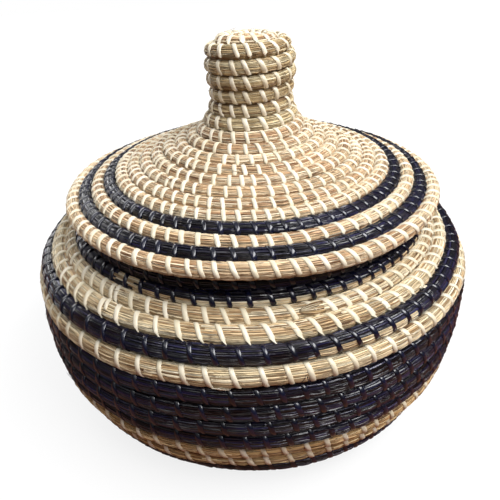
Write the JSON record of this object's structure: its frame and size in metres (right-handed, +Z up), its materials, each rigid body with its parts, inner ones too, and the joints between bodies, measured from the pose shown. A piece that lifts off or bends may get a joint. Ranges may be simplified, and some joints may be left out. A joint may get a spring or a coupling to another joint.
{
  "type": "lidded coiled basket",
  "caption": "Round-bellied coiled grass basket with dark and light bands and a lift-off lid with a tall knob, for keeping small things.",
  "frame": {"origin": "the middle of the base's underside, where the basket stands", "axes": "+Z up along the axis of the basket's coil, -Y towards the side that the picture shows, +X to the right of it"},
  "size_m": [0.2986, 0.2986, 0.2449],
  "materials": {
    "natural_grass": "dried grass in its own straw colour, matt with a soft sheen along the blades",
    "navy_grass": "dried grass dyed navy, with a soft sheen along the blades",
    "cream_strip": "flat cream plastic strip used as sewing thread, half gloss",
    "navy_strip": "flat navy plastic strip used as sewing thread, glossy"
  },
  "bodies": {
    "basket": {"base_coil": "natural_grass", "foot_navy_coil": "navy_grass", "lower_natural_coil": "natural_grass", "belly_navy_coil": "navy_grass", "belly_natural_coil": "natural_grass", "shoulder_navy_coil": "navy_grass", "shoulder_natural_coil": "natural_grass", "neck_coil": "navy_grass", "mouth_navy_coil": "navy_grass"},
    "lid": {"lid_rim_coil": "natural_grass", "lid_outer_navy_coil": "navy_grass", "lid_band_natural_coil": "natural_grass", "lid_inner_navy_coil": "navy_grass", "lid_cone_coil": "natural_grass", "knob_wall_coil": "natural_grass", "knob_top_coil": "natural_grass"}
  },
  "joints": [
    {"name": "lid_lift", "type": "slide", "parent": "basket", "child": "lid", "axis": [0, 0, 1], "range_m": [0, 0.12]}
  ]
}
